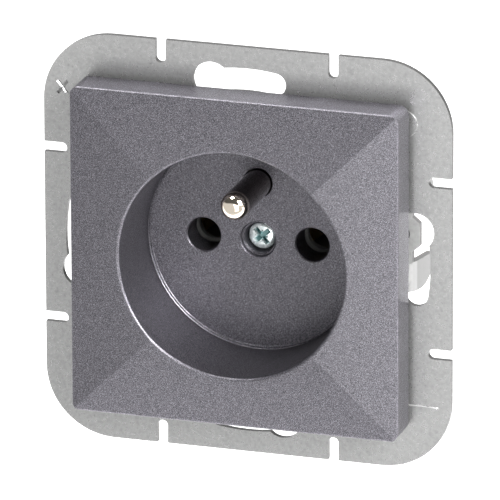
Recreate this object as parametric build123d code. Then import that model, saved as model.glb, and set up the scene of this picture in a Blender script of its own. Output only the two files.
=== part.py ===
from build123d import *
import os
from math import cos, radians, sin, sqrt

# Flush wall socket with a round recess and an earth pin, without its outer frame.
# Millimetres. The wall is the plane Y = 0, where the support plate's back face lies.
# The socket faces -Y, +X is to the right seen from the front and +Z is up.

# Cover with its round recess
RIM_RADIUS = 19.6
RIM_ROUND = 0.5
RECESS_DRAFT = 0.3
CUP_WALL = 1.3
FLOOR_Y = 5.0
FLOOR_THICKNESS = 2.0
FLOOR_BEAD_WIDTH = 0.2
FLOOR_BEAD_RISE = 0.1
FLOOR_GROOVE_WIDTH = 0.15
FLOOR_GROOVE_DEPTH = 0.15
RECESS_FOOT_BEVEL = 0.22
COVER_BORDER = 8.9
COVER_CORNER = 1.7
COVER_EDGE_Y = -8.6
COVER_BACK_Y = -2.5
COVER_FACE_RISE = 2.5
COVER_WALL = 1.6
COVER_EDGE_ROUND = 0.45
COVER_HOLLOW_ROUND = 0.4
PIN_SPACING = 19.0
PIN_HOLE_RADIUS = 2.9
PIN_SLEEVE_LENGTH = 5.0
PIN_SLEEVE_WALL = 1.2
SCREW_HOLE_RADIUS = 3.0
SCREW_LEDGE_DEPTH = 0.8
SCREW_STEP_RADIUS = 2.6
SCREW_SINK = 2.0
HOLE_BEVEL = 0.2
SCREW_TOWER_RADIUS = 4.2

# Support plate
PLATE_THICKNESS = 1.0
PLATE_CORNER = 12.0
PLATE_EDGE_MARGIN = 5.65
OPENING_GAP = 0.85
EDGE_SLOT_OFFSET = 15.0
EDGE_SLOT_WIDTH = 1.8
EDGE_SLOT_DEPTH = 4.0
KEYHOLE_SLOT_WIDTH = 4.0
KEYHOLE_HEAD_RADIUS = 3.25
KEYHOLE_HEAD_ANGLE = 11.9
KEYHOLE_END_ANGLE = 9.3
KEYHOLE_BRIDGE = 1.75
LEG_WIDTH = 12.0
LEG_SETBACK = 1.15
LEG_BEND = 0.6
LEG_LAP = 0.5
LEG_RELIEF = 0.8
FOOT_LIP = 0.3
PIP_INSET = (8.3, 10.7)
PIP_RADIUS = 2.4
PIP_HEIGHT = 0.2
PIP_SLOPE = 0.1
CROSS_MARK_INSET = (3.35, 9.85)
CROSS_MARK_LENGTH = 2.8
CROSS_MARK_WIDTH = 0.55
CROSS_MARK_TILT = 52.0
LINE_MARK_INSET = (7.8, 2.2)
LINE_MARK_RISE = 11.2
LINE_MARK_WIDTH = 0.4

# Insert behind the cover: cap, base and what they hold
CAP_FRONT_Y = 10.9
CAP_THICKNESS = 2.0
CAP_HOLE_RADIUS = 2.95
CAP_HOLE_MOUTH = 0.7
HORN_FRONT_Y = 1.0
HORN_WIDTH = 2.6
HORN_SLOPE = 1.7
HORN_GAP = 0.4
HORN_CUP_GAP = 0.3
EAR_HALF = 5.0
EAR_LAP = 1.0
BASE_CORNER = 3.0
BASE_SIDE_WALL = 3.9
BASE_END_WALL = 1.4
BASE_BEVEL = 1.0
BASE_BACK_Y = 29.0
FLANGE_DEPTH = 4.5
FLANGE_EDGE = 1.6
STRAP_THICKNESS = 0.8
TERMINAL_SIZE = 8.0
POCKET_GAP = 0.6
TERMINAL_NECK_WALL = 0.9
TERMINAL_NECK_LENGTH = 0.8
CHAMBER_HALF_X = 4.4
CHAMBER_HALF_Z = 4.0
CHAMBER_END_GAP = 1.5
LEAF_HALF_WIDTH = 3.0
LEAF_GAP = 0.2
LEAF_GRIP = 2.2
LEAF_MOUTH = 2.7
LEAF_MOUTH_LENGTH = 3.0
LEAF_STRAIGHT = 2.5
LEAF_BEND = 0.4
PLUG_PIN_LENGTH = 19.0
CLEARANCE = 0.1

# Earth pin
EARTH_PIN_Z = 10.0
EARTH_PIN_RADIUS = 2.4
EARTH_PIN_LENGTH = 14.6
EARTH_PIN_TIP_ROUND = 1.9
EARTH_NECK_RADIUS = 2.2
EARTH_NECK_LIFT = 0.2
EARTH_COLLAR_RADIUS = 3.5
EARTH_COLLAR_LENGTH = 1.2
EARTH_TAIL_RADIUS = 1.8
EARTH_TAIL_HEAD_RADIUS = 2.7
EARTH_TAIL_HEAD_LENGTH = 0.8

# Fasteners
COVER_SCREW_RADIUS = 1.5
COVER_SCREW_HEAD_RADIUS = 2.45
COVER_SCREW_HEAD_LENGTH = 2.2
COVER_SCREW_HEAD_BEVEL = 0.4
COVER_SCREW_LENGTH = 9.8
CROSS_LENGTH = 3.4
CROSS_WIDTH = 0.75
CROSS_DEPTH = 1.1
CROSS_TURN = 40.0
COVER_NUT_SIZE = 5.5
COVER_NUT_THICKNESS = 2.4
TERMINAL_SCREW_RADIUS = 1.7
TERMINAL_SCREW_HEAD_RADIUS = 3.0
TERMINAL_SCREW_HEAD_LENGTH = 2.4
TERMINAL_SLOT_WIDTH = 1.0
TERMINAL_SLOT_DEPTH = 1.2
CLAMP_THICKNESS = 1.2
CLAMP_LIP = 1.4
WIRE_GAP = 2.8
RIVET_RADIUS = 1.3
RIVET_BORE_RADIUS = 0.8
RIVET_HEAD_RADIUS = 2.2
RIVET_HEAD_LENGTH = 0.7
RIVET_WALL = 0.8
RIVET_NOTCH_GAP = 0.5

# Spreading claws: the right one, and the left one half a turn round the middle
CLAW_Z = 2.1
CLAW_CUP_GAP = 1.2
CLAW_SCREW_INSET = 1.7
CLAW_WIDTH = 3.6
CLAW_TONGUE_LENGTH = 2.1
CLAW_LAP = 0.5
CLAW_FRONT_Y = 9.1
CLAW_THICKNESS = 1.2
CLAW_HALF_LENGTH = 10.3
CLAW_GAP_HALF = 5.1
CLAW_TOOTH_REACH = 1.3
CLAW_TOOTH_BASE_HALF = 3.05
CLAW_TOOTH_TIP_HALF = 1.95
CLAW_WING_DEPTH = 6.0
CLAW_WING_FLARE = 1.6
CLAW_WING_ROUND = 4.6
CLAW_WING_BEND = 1.0
CLAW_SCREW_RADIUS = 1.45
CLAW_SCREW_END_Y = 15.0
CLAW_HEAD_RADIUS = 2.6
CLAW_HEAD_TOP = 1.4
CLAW_HEAD_LIFT = 0.07
CLAW_SLOT_WIDTH = 0.8
CLAW_SLOT_DEPTH = 1.0
CLAW_NOTCH_WIDTH = 3.6
CLAW_NOTCH_REACH = 2.3

# How far a cutting tool runs past the face it cuts through
CUT_PAST = 1.0

# Derived from the recess outward: cup, claws, box screw circle, plate and cover
RECESS_FOOT_RADIUS = RIM_RADIUS - RECESS_DRAFT
GROOVE_OUTER_RADIUS = RECESS_FOOT_RADIUS - RECESS_FOOT_BEVEL
FLOOR_DISC_RADIUS = GROOVE_OUTER_RADIUS - FLOOR_GROOVE_WIDTH
CUP_OUTER_RADIUS = RIM_RADIUS + CUP_WALL
OPENING_RADIUS = CUP_OUTER_RADIUS + OPENING_GAP
LEG_OUTER_Z = OPENING_RADIUS + LEG_SETBACK
CLAW_INNER_X = CUP_OUTER_RADIUS + CLAW_CUP_GAP
CLAW_OUTER_X = CLAW_INNER_X + CLAW_WIDTH
CLAW_TONGUE_X = CLAW_INNER_X - CLAW_TONGUE_LENGTH
CLAW_X = CLAW_INNER_X + CLAW_SCREW_INSET
CLAW_NOTCH_END_X = CLAW_X + CLAW_NOTCH_REACH
BOX_SCREW_RADIUS = CLAW_NOTCH_END_X + KEYHOLE_BRIDGE + KEYHOLE_SLOT_WIDTH / 2
PLATE_HALF = BOX_SCREW_RADIUS + PLATE_EDGE_MARGIN
COVER_HALF = RIM_RADIUS + COVER_BORDER

# Derived from the pins outward: terminals, rivets, base and flange
PIN_X = PIN_SPACING / 2
TERMINAL_X = PIN_X
TERMINAL_POCKET = TERMINAL_SIZE + 2 * POCKET_GAP
BASE_HALF = TERMINAL_X + TERMINAL_POCKET / 2 + BASE_SIDE_WALL
TERMINAL_Z = BASE_HALF - BASE_END_WALL - TERMINAL_POCKET / 2
RIVET_Z = EARTH_PIN_Z + EARTH_COLLAR_RADIUS + RIVET_WALL + RIVET_RADIUS
FLANGE_HALF_Z = RIVET_Z + RIVET_HEAD_RADIUS + FLANGE_EDGE

# Derived depths
FLOOR_BACK_Y = FLOOR_Y + FLOOR_THICKNESS
BASE_FRONT_Y = CAP_FRONT_Y + CAP_THICKNESS
STRAP_BACK_Y = BASE_FRONT_Y + STRAP_THICKNESS
NECK_BACK_Y = STRAP_BACK_Y + TERMINAL_NECK_LENGTH
FLANGE_BACK_Y = BASE_FRONT_Y + FLANGE_DEPTH
PLUG_PIN_END_Y = FLOOR_Y + PLUG_PIN_LENGTH
FOOT_FRONT_Y = CAP_FRONT_Y - PLATE_THICKNESS
CLAMP_FRONT_Y = STRAP_BACK_Y + WIRE_GAP
CLAMP_BACK_Y = CLAMP_FRONT_Y + CLAMP_THICKNESS
SCREW_SEAT_Y = FLOOR_Y + SCREW_SINK + COVER_SCREW_HEAD_LENGTH
COVER_SCREW_END_Y = SCREW_SEAT_Y + COVER_SCREW_LENGTH
CLAW_HEAD_RISE = sqrt(CLAW_HEAD_RADIUS**2 - (CLAW_NOTCH_WIDTH / 2) ** 2)
CLAW_PIVOT_Y = -PLATE_THICKNESS - CLAW_HEAD_RISE - CLAW_HEAD_LIFT
LIVE_TERMINALS = [(TERMINAL_X, -TERMINAL_Z), (-TERMINAL_X, -TERMINAL_Z)]
EARTH_TERMINAL = (TERMINAL_X, TERMINAL_Z)


def front_plane(y):
    """Plane at depth y that faces the front, with its own x to the right and its own y up."""
    return Plane(origin=(0, y, 0), x_dir=(1, 0, 0), z_dir=(0, -1, 0))


def slab(sketch, y_front, y_back):
    """Solid of a front-view sketch between two depths."""
    return extrude(front_plane(y_back) * sketch, y_back - y_front)


def rod(x, z, radius, y_front, y_back):
    """Round bar along Y."""
    return slab(Pos(x, z) * Circle(radius), y_front, y_back)


def block(x0, x1, y0, y1, z0, z1):
    """Box between two corners."""
    centre = Pos((x0 + x1) / 2, (y0 + y1) / 2, (z0 + z1) / 2)
    return centre * Box(x1 - x0, y1 - y0, z1 - z0)


def panel(x0, x1, z0, z1):
    """Front-view rectangle between two corners."""
    return Pos((x0 + x1) / 2, (z0 + z1) / 2) * Rectangle(x1 - x0, z1 - z0)


def hole_mouth(x, radius, y, bevel):
    """Cutter for the bevelled mouth of a hole along Y whose front edge lies at depth y."""
    return Plane(origin=(x, y, 0), z_dir=(0, 1, 0)) * Pos(0, 0, bevel / 2) * Cone(radius + bevel, radius, bevel)


def half_turn(solid):
    """The same solid half a turn round the middle of the socket."""
    return Rot(0, 180, 0) * solid


def strip_profile(points, thickness, bend):
    """Profile of a bent strip: the points run along one face, with the metal on their left."""
    vectors = [Vector(*point) for point in points]
    ways = [(b - a).normalized() for a, b in zip(vectors, vectors[1:])]
    normals = [Vector(-way.Y, way.X) for way in ways]
    far = [vectors[0] + normals[0] * thickness]
    for i in range(1, len(ways)):
        middle = (normals[i - 1] + normals[i]).normalized()
        far.append(vectors[i] + middle * (thickness / middle.dot(normals[i])))
    far.append(vectors[-1] + normals[-1] * thickness)
    corners = vectors + far[::-1]
    profile = make_face(Polyline(*[(corner.X, corner.Y) for corner in corners], close=True))
    for i in range(1, len(ways)):
        left_turn = ways[i - 1].X * ways[i].Y - ways[i - 1].Y * ways[i].X > 0
        near_round = bend + thickness if left_turn else bend
        far_round = bend if left_turn else bend + thickness
        for corner, radius in ((vectors[i], near_round), (far[i], far_round)):
            vertex = profile.vertices().sort_by_distance(corner)[0]
            profile = fillet(vertex, radius)
    return profile


def keyhole():
    """Front-view keyhole at the top: an arc slot on the box screw circle with a round head on its left."""
    start = 90 - KEYHOLE_END_ANGLE
    arc = CenterArc((0, 0), BOX_SCREW_RADIUS, start, KEYHOLE_END_ANGLE + KEYHOLE_HEAD_ANGLE)
    head = radians(90 + KEYHOLE_HEAD_ANGLE)
    head_centre = Pos(BOX_SCREW_RADIUS * cos(head), BOX_SCREW_RADIUS * sin(head))
    return SlotArc(arc, KEYHOLE_SLOT_WIDTH) + head_centre * Circle(KEYHOLE_HEAD_RADIUS)


def edge_slots():
    """Front-view pair of open slots in the top edge."""
    slots = Sketch()
    end_z = PLATE_HALF - EDGE_SLOT_DEPTH + EDGE_SLOT_WIDTH / 2
    for x in (-EDGE_SLOT_OFFSET, EDGE_SLOT_OFFSET):
        slots += Pos(x, end_z) * Circle(EDGE_SLOT_WIDTH / 2)
        slots += panel(x - EDGE_SLOT_WIDTH / 2, x + EDGE_SLOT_WIDTH / 2, end_z, PLATE_HALF + CUT_PAST)
    return slots


def plate_leg():
    """Top leg of the support plate: bent back from the opening, with a foot turned in to the middle."""
    root_z = LEG_OUTER_Z + LEG_BEND + LEG_LAP
    foot_z = RIVET_Z - RIVET_HEAD_RADIUS - FOOT_LIP
    back_y = CAP_FRONT_Y
    path = [(back_y, foot_z), (back_y, LEG_OUTER_Z), (0, LEG_OUTER_Z), (0, root_z)]
    profile = strip_profile(path, PLATE_THICKNESS, LEG_BEND)
    return extrude(Plane.YZ * profile, LEG_WIDTH / 2, both=True)


def stamped_line(x, z, length, width, tilt=0.0):
    """Cutter for a V-shaped line stamped into the front of the plate: a square bar laid on its edge."""
    side = width / sqrt(2)
    bar = Rot(45, 0, 0) * Box(length, side, side)
    return Pos(x, -PLATE_THICKNESS, z) * Rot(0, tilt, 0) * bar


def make_support_plate():
    """Galvanised sheet with windows, edge slots, claw notches, stamped marks and two riveted legs."""
    outline = RectangleRounded(2 * PLATE_HALF, 2 * PLATE_HALF, PLATE_CORNER) - Circle(OPENING_RADIUS)
    for turn in range(4):
        outline -= Rot(0, 0, 90 * turn) * (keyhole() + edge_slots())
    leg_gap = LEG_WIDTH / 2 + LEG_RELIEF
    inside = OPENING_RADIUS / 2
    leg_cut = panel(-leg_gap, leg_gap, inside, LEG_OUTER_Z + LEG_BEND)
    notch_half = CLAW_NOTCH_WIDTH / 2
    notch_end = CLAW_NOTCH_END_X - notch_half
    notch = panel(inside, notch_end, CLAW_Z - notch_half, CLAW_Z + notch_half)
    notch += Pos(notch_end, CLAW_Z) * Circle(notch_half)
    for turn in range(2):
        outline -= Rot(0, 0, 180 * turn) * (leg_cut + notch)
    plate = slab(outline, -PLATE_THICKNESS, 0)
    for turn in range(2):
        pip_place = Rot(0, 0, 180 * turn) * Pos(PLATE_HALF - PIP_INSET[0], PLATE_HALF - PIP_INSET[1])
        dome = Pos(0, 0, PIP_HEIGHT / 2) * Cone(PIP_RADIUS, PIP_RADIUS - PIP_SLOPE, PIP_HEIGHT)
        plate += front_plane(-PLATE_THICKNESS) * (pip_place * dome)
        plate -= slab(pip_place * Circle(PIP_RADIUS), -PIP_HEIGHT, 0)
    plate += plate_leg() + half_turn(plate_leg())
    for z in (RIVET_Z, -RIVET_Z):
        plate -= rod(0, z, RIVET_RADIUS, FOOT_FRONT_Y - CUT_PAST, CAP_FRONT_Y + CUT_PAST)
    line_start, line_end = (PLATE_HALF - inset for inset in LINE_MARK_INSET)
    line_x = (line_start + line_end) / 2
    plate -= stamped_line(line_x, LINE_MARK_RISE - PLATE_HALF, line_end - line_start, LINE_MARK_WIDTH)
    cross_x = CROSS_MARK_INSET[0] - PLATE_HALF
    cross_z = PLATE_HALF - CROSS_MARK_INSET[1]
    for tilt in (CROSS_MARK_TILT, -CROSS_MARK_TILT):
        plate -= stamped_line(cross_x, cross_z, CROSS_MARK_LENGTH, CROSS_MARK_WIDTH, tilt)
    return plate


def arched_block(half, corner, edge_round, edge_y, back_y):
    """Square block whose front is four arched facets that meet in ridges on the diagonals."""
    arc = ThreePointArc((-half, edge_y), (0, edge_y - COVER_FACE_RISE), (half, edge_y))
    sides = Polyline((half, edge_y), (half, back_y), (-half, back_y), (-half, edge_y))
    profile = make_face(arc + sides)
    for x in (-half, half):
        profile = fillet(profile.vertices().sort_by_distance((x, edge_y))[0], edge_round)
    arch = extrude(profile, half + CUT_PAST, both=True)
    crossed = arch & (Rot(0, 90, 0) * arch)
    outline = RectangleRounded(2 * half, 2 * half, corner)
    return crossed & slab(outline, edge_y - COVER_FACE_RISE - CUT_PAST, back_y)


def make_cover():
    """Moulded cover: shell, recess cup with a raised floor disc, pin sleeves and screw tower."""
    cover = arched_block(COVER_HALF, COVER_CORNER, COVER_EDGE_ROUND, COVER_EDGE_Y, COVER_BACK_Y)
    hollow_half = COVER_HALF - COVER_WALL
    hollow_edge_y = COVER_EDGE_Y + COVER_WALL
    hollow_round = COVER_HOLLOW_ROUND
    cover -= arched_block(hollow_half, hollow_round, hollow_round, hollow_edge_y, COVER_BACK_Y + CUT_PAST)
    cover += rod(0, 0, CUP_OUTER_RADIUS, COVER_EDGE_Y, FLOOR_BACK_Y)
    mouth_y = COVER_EDGE_Y - COVER_FACE_RISE - CUT_PAST
    bead_radius = FLOOR_DISC_RADIUS - FLOOR_BEAD_WIDTH
    bead_y = FLOOR_Y - FLOOR_BEAD_RISE
    groove_y = FLOOR_Y + FLOOR_GROOVE_DEPTH
    wall = Polyline(
        (0, FLOOR_Y),
        (bead_radius, FLOOR_Y),
        (bead_radius + FLOOR_BEAD_RISE, bead_y),
        (FLOOR_DISC_RADIUS, bead_y),
        (FLOOR_DISC_RADIUS, groove_y),
        (GROOVE_OUTER_RADIUS, groove_y),
        (RECESS_FOOT_RADIUS, groove_y - RECESS_FOOT_BEVEL),
        (RIM_RADIUS, COVER_EDGE_Y),
        (RIM_RADIUS, mouth_y),
        (0, mouth_y),
        close=True,
    )
    recess = revolve(make_face(wall), Axis.Y)
    # The recess's seam is turned onto a ridge, so that each facet has one rim edge to round
    cover -= Rot(0, 45, 0) * recess
    rim = [edge for edge in cover.edges() if on_rim(edge)]
    cover = fillet(rim, RIM_ROUND)
    for x in (-PIN_X, PIN_X):
        cover += rod(x, 0, PIN_HOLE_RADIUS + PIN_SLEEVE_WALL, FLOOR_BACK_Y, FLOOR_Y + PIN_SLEEVE_LENGTH)
        cover -= rod(x, 0, PIN_HOLE_RADIUS, FLOOR_Y - CUT_PAST, FLOOR_Y + PIN_SLEEVE_LENGTH + CUT_PAST)
        cover -= hole_mouth(x, PIN_HOLE_RADIUS, FLOOR_Y, HOLE_BEVEL)
    cover += rod(0, 0, SCREW_TOWER_RADIUS, FLOOR_BACK_Y, CAP_FRONT_Y)
    ledge_y = FLOOR_Y + SCREW_LEDGE_DEPTH
    cover -= rod(0, 0, SCREW_HOLE_RADIUS, FLOOR_Y - CUT_PAST, ledge_y)
    cover -= rod(0, 0, SCREW_STEP_RADIUS, FLOOR_Y, SCREW_SEAT_Y)
    for radius, edge_y in ((SCREW_HOLE_RADIUS, FLOOR_Y), (SCREW_STEP_RADIUS, ledge_y)):
        cover -= hole_mouth(0, radius, edge_y, HOLE_BEVEL)
    cover -= rod(0, 0, COVER_SCREW_RADIUS + CLEARANCE, FLOOR_Y, CAP_FRONT_Y + CUT_PAST)
    earth_hole_radius = EARTH_PIN_RADIUS + 2 * CLEARANCE
    cover -= rod(0, EARTH_PIN_Z, earth_hole_radius, FLOOR_Y - CUT_PAST, FLOOR_BACK_Y + CUT_PAST)
    return cover


def on_rim(edge):
    """True for an edge that lies on the mouth of the recess, in the arched front."""
    points = [edge @ t for t in (0, 0.5, 1)]
    off_circle = [abs(sqrt(point.X**2 + point.Z**2) - RIM_RADIUS) for point in points]
    return max(off_circle) < RIM_ROUND / 10 and points[1].Y < COVER_EDGE_Y - RIM_ROUND


def make_base_cap():
    """Insulating front plate of the insert, with guide holes and the sloped horns that push the claws out."""
    outline = RectangleRounded(2 * BASE_HALF, 2 * FLANGE_HALF_Z, BASE_CORNER)
    cap = slab(outline, CAP_FRONT_Y, BASE_FRONT_Y)
    horn_x = CLAW_INNER_X - HORN_GAP
    horn_inner_x = CUP_OUTER_RADIUS + HORN_CUP_GAP
    horn_points = [
        (horn_inner_x, BASE_FRONT_Y),
        (horn_inner_x, HORN_FRONT_Y),
        (horn_x + HORN_SLOPE, HORN_FRONT_Y),
        (horn_x, CLAW_FRONT_Y - CLAW_LAP),
        (horn_x, BASE_FRONT_Y),
    ]
    horn = extrude(make_face(Polyline(*horn_points, close=True)), HORN_WIDTH)
    ear_bottom = CLAW_Z - EAR_HALF
    ear_top = CLAW_Z + EAR_HALF
    ear = block(BASE_HALF - EAR_LAP, horn_x, CAP_FRONT_Y, BASE_FRONT_Y, ear_bottom, ear_top)
    side = ear + Pos(0, 0, ear_top - HORN_WIDTH) * horn + Pos(0, 0, ear_bottom) * horn
    cap += side + half_turn(side)
    for x in (-PIN_X, PIN_X):
        hole = rod(x, 0, CAP_HOLE_RADIUS, CAP_FRONT_Y - CUT_PAST, BASE_FRONT_Y + CUT_PAST)
        cap -= hole + hole_mouth(x, CAP_HOLE_RADIUS, CAP_FRONT_Y, CAP_HOLE_MOUTH)
    cap -= rod(0, 0, COVER_SCREW_RADIUS + 2 * CLEARANCE, CAP_FRONT_Y - CUT_PAST, BASE_FRONT_Y + CUT_PAST)
    cap -= rod(0, EARTH_PIN_Z, EARTH_NECK_RADIUS + CLEARANCE, CAP_FRONT_Y - CUT_PAST, BASE_FRONT_Y + CUT_PAST)
    collar_y = BASE_FRONT_Y - EARTH_COLLAR_LENGTH
    cap -= rod(0, EARTH_PIN_Z, EARTH_COLLAR_RADIUS + CLEARANCE, collar_y, BASE_FRONT_Y + CUT_PAST)
    for z in (RIVET_Z, -RIVET_Z):
        cap -= rod(0, z, RIVET_RADIUS, CAP_FRONT_Y - CUT_PAST, BASE_FRONT_Y + CUT_PAST)
    return cap


def contact_plate(x, grow=0.0):
    """Front-view outline of a live contact's plate."""
    half = TERMINAL_SIZE / 2 + grow
    return panel(x - half, x + half, -TERMINAL_Z - half, half)


def earth_plate(grow=0.0):
    """Front-view outline of the earth strap: pin, terminal and an arm under the top rivet."""
    half = TERMINAL_SIZE / 2 + grow
    plate = panel(-half, TERMINAL_X + half, EARTH_PIN_Z - EARTH_COLLAR_RADIUS - grow, TERMINAL_Z + half)
    return plate + panel(-half, half, TERMINAL_Z, RIVET_Z + RIVET_HEAD_RADIUS + grow)


def make_base():
    """Rear housing with chambers for the contacts, open terminal pockets and wire entries."""
    base = slab(RectangleRounded(2 * BASE_HALF, 2 * FLANGE_HALF_Z, BASE_CORNER), BASE_FRONT_Y, FLANGE_BACK_Y)
    base += slab(RectangleRounded(2 * BASE_HALF, 2 * BASE_HALF, BASE_CORNER), FLANGE_BACK_Y, BASE_BACK_Y)
    back_edges = base.faces().sort_by(Axis.Y)[-1].edges()
    base = chamfer(back_edges, BASE_BEVEL)
    half_pocket = TERMINAL_POCKET / 2
    for x, z in LIVE_TERMINALS + [EARTH_TERMINAL]:
        pocket = panel(x - half_pocket, x + half_pocket, z - half_pocket, z + half_pocket)
        base -= slab(pocket, BASE_FRONT_Y - CUT_PAST, BASE_BACK_Y + CUT_PAST)
        outward = 1 if z > 0 else -1
        entry_place = Pos(x, STRAP_BACK_Y + WIRE_GAP / 2, z + outward * FLANGE_HALF_Z / 2)
        base -= entry_place * Cylinder(WIRE_GAP / 2 - CLEARANCE / 2, FLANGE_HALF_Z)
    for x in (-PIN_X, PIN_X):
        base -= slab(contact_plate(x, CLEARANCE), BASE_FRONT_Y - CUT_PAST, STRAP_BACK_Y)
        chamber = panel(x - CHAMBER_HALF_X, x + CHAMBER_HALF_X, -CHAMBER_HALF_Z, CHAMBER_HALF_Z)
        base -= slab(chamber, BASE_FRONT_Y, PLUG_PIN_END_Y + CHAMBER_END_GAP)
    base -= slab(earth_plate(CLEARANCE), BASE_FRONT_Y - CUT_PAST, STRAP_BACK_Y)
    tail_end = STRAP_BACK_Y + EARTH_TAIL_HEAD_LENGTH + CLEARANCE
    base -= rod(0, EARTH_PIN_Z, EARTH_TAIL_HEAD_RADIUS + CLEARANCE, BASE_FRONT_Y, tail_end)
    nut_half = COVER_NUT_SIZE / 2 + CLEARANCE
    nut_back = BASE_FRONT_Y + COVER_NUT_THICKNESS
    base -= slab(panel(-nut_half, nut_half, -nut_half, nut_half), BASE_FRONT_Y - CUT_PAST, nut_back)
    base -= rod(0, 0, COVER_SCREW_RADIUS + 3 * CLEARANCE, BASE_FRONT_Y, COVER_SCREW_END_Y + CUT_PAST)
    notch_half = RIVET_HEAD_RADIUS + RIVET_NOTCH_GAP
    notch = panel(-notch_half, notch_half, RIVET_Z - notch_half, FLANGE_HALF_Z + CUT_PAST)
    notch = slab(notch, FLANGE_BACK_Y, BASE_BACK_Y + CUT_PAST)
    base -= notch + half_turn(notch)
    for z in (RIVET_Z, -RIVET_Z):
        base -= rod(0, z, RIVET_RADIUS, BASE_FRONT_Y - CUT_PAST, FLANGE_BACK_Y + CUT_PAST)
    return base


def make_contact(x):
    """Live contact: a plate with a tapped terminal end and two spring leaves that grip the plug pin."""
    root = PIN_HOLE_RADIUS + LEAF_GAP
    plate = contact_plate(x) - Pos(x, 0) * Rectangle(2 * root, 2 * (LEAF_HALF_WIDTH + LEAF_GAP))
    contact = slab(plate, BASE_FRONT_Y, STRAP_BACK_Y)
    contact += terminal_neck(x, -TERMINAL_Z)
    path = [(LEAF_MOUTH, PLUG_PIN_END_Y), (LEAF_GRIP, PLUG_PIN_END_Y - LEAF_MOUTH_LENGTH)]
    path += [(root, BASE_FRONT_Y + LEAF_STRAIGHT), (root, BASE_FRONT_Y)]
    leaf = extrude(strip_profile(path, STRAP_THICKNESS, LEAF_BEND), LEAF_HALF_WIDTH, both=True)
    contact += Pos(x, 0, 0) * leaf + Pos(x, 0, 0) * mirror(leaf, Plane.YZ)
    return contact


def terminal_neck(x, z):
    """Tapped neck behind a terminal plate."""
    return rod(x, z, TERMINAL_SCREW_RADIUS + TERMINAL_NECK_WALL, STRAP_BACK_Y, NECK_BACK_Y)


def tap_terminal(strip, x, z):
    """The strip with the terminal's screw hole cut."""
    return strip - rod(x, z, TERMINAL_SCREW_RADIUS, BASE_FRONT_Y - CUT_PAST, NECK_BACK_Y + CUT_PAST)


def make_earth_strap():
    """Strip from the earth pin to its terminal and to the top rivet, which joins it to the steel leg."""
    strap = slab(earth_plate(), BASE_FRONT_Y, STRAP_BACK_Y) + terminal_neck(*EARTH_TERMINAL)
    strap = tap_terminal(strap, *EARTH_TERMINAL)
    strap -= rod(0, EARTH_PIN_Z, EARTH_TAIL_RADIUS, BASE_FRONT_Y - CUT_PAST, STRAP_BACK_Y + CUT_PAST)
    return strap - rod(0, RIVET_Z, RIVET_RADIUS, BASE_FRONT_Y - CUT_PAST, STRAP_BACK_Y + CUT_PAST)


def make_earth_pin():
    """Round pin with a domed tip, a neck in the floor, a collar in the cap and a headed tail."""
    pin = rod(0, EARTH_PIN_Z, EARTH_PIN_RADIUS, FLOOR_Y - EARTH_PIN_LENGTH, FLOOR_Y - EARTH_NECK_LIFT)
    tip = pin.faces().sort_by(Axis.Y)[0].edges()
    pin = fillet(tip, EARTH_PIN_TIP_ROUND)
    pin += rod(0, EARTH_PIN_Z, EARTH_NECK_RADIUS, FLOOR_Y - EARTH_NECK_LIFT, BASE_FRONT_Y)
    pin += rod(0, EARTH_PIN_Z, EARTH_COLLAR_RADIUS, BASE_FRONT_Y - EARTH_COLLAR_LENGTH, BASE_FRONT_Y)
    pin += rod(0, EARTH_PIN_Z, EARTH_TAIL_RADIUS, BASE_FRONT_Y, STRAP_BACK_Y)
    tail_end = STRAP_BACK_Y + EARTH_TAIL_HEAD_LENGTH
    return pin + rod(0, EARTH_PIN_Z, EARTH_TAIL_HEAD_RADIUS, STRAP_BACK_Y, tail_end)


def make_clamp(x, z):
    """Saddle plate that presses the wire: two lips turned forward and a screw hole."""
    half = TERMINAL_SIZE / 2
    clamp = slab(panel(x - half, x + half, z - half, z + half), CLAMP_FRONT_Y, CLAMP_BACK_Y)
    for side in (-1, 1):
        lip_x = x + side * (half - CLAMP_THICKNESS / 2)
        lip_half = CLAMP_THICKNESS / 2
        lip = panel(lip_x - lip_half, lip_x + lip_half, z - half, z + half)
        clamp += slab(lip, CLAMP_FRONT_Y - CLAMP_LIP, CLAMP_FRONT_Y)
    hole_radius = TERMINAL_SCREW_RADIUS + CLEARANCE
    return clamp - rod(x, z, hole_radius, CLAMP_FRONT_Y - CUT_PAST, CLAMP_BACK_Y + CUT_PAST)


def make_terminal_screw(x, z):
    """Slotted cheese-head screw that faces the back."""
    head_end = CLAMP_BACK_Y + TERMINAL_SCREW_HEAD_LENGTH
    screw = rod(x, z, TERMINAL_SCREW_RADIUS, BASE_FRONT_Y + CLEARANCE, CLAMP_BACK_Y)
    screw += rod(x, z, TERMINAL_SCREW_HEAD_RADIUS, CLAMP_BACK_Y, head_end)
    slot = Pos(x, z) * Rectangle(2 * TERMINAL_SCREW_HEAD_RADIUS + CUT_PAST, TERMINAL_SLOT_WIDTH)
    return screw - slab(slot, head_end - TERMINAL_SLOT_DEPTH, head_end + CUT_PAST)


def make_cover_screw():
    """Pan-head screw with a cross recess, sunk in the tower of the cover."""
    head_y = SCREW_SEAT_Y - COVER_SCREW_HEAD_LENGTH
    screw = rod(0, 0, COVER_SCREW_HEAD_RADIUS, head_y, SCREW_SEAT_Y)
    screw = chamfer(screw.faces().sort_by(Axis.Y)[0].edges(), COVER_SCREW_HEAD_BEVEL)
    screw += rod(0, 0, COVER_SCREW_RADIUS, SCREW_SEAT_Y, COVER_SCREW_END_Y)
    cross = Rectangle(CROSS_LENGTH, CROSS_WIDTH) + Rectangle(CROSS_WIDTH, CROSS_LENGTH)
    return screw - slab(Rot(0, 0, CROSS_TURN) * cross, head_y - CUT_PAST, head_y + CROSS_DEPTH)


def make_cover_nut():
    """Square nut trapped between the cap and the base."""
    outline = Rectangle(COVER_NUT_SIZE, COVER_NUT_SIZE) - Circle(COVER_SCREW_RADIUS)
    return slab(outline, BASE_FRONT_Y, BASE_FRONT_Y + COVER_NUT_THICKNESS)


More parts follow.
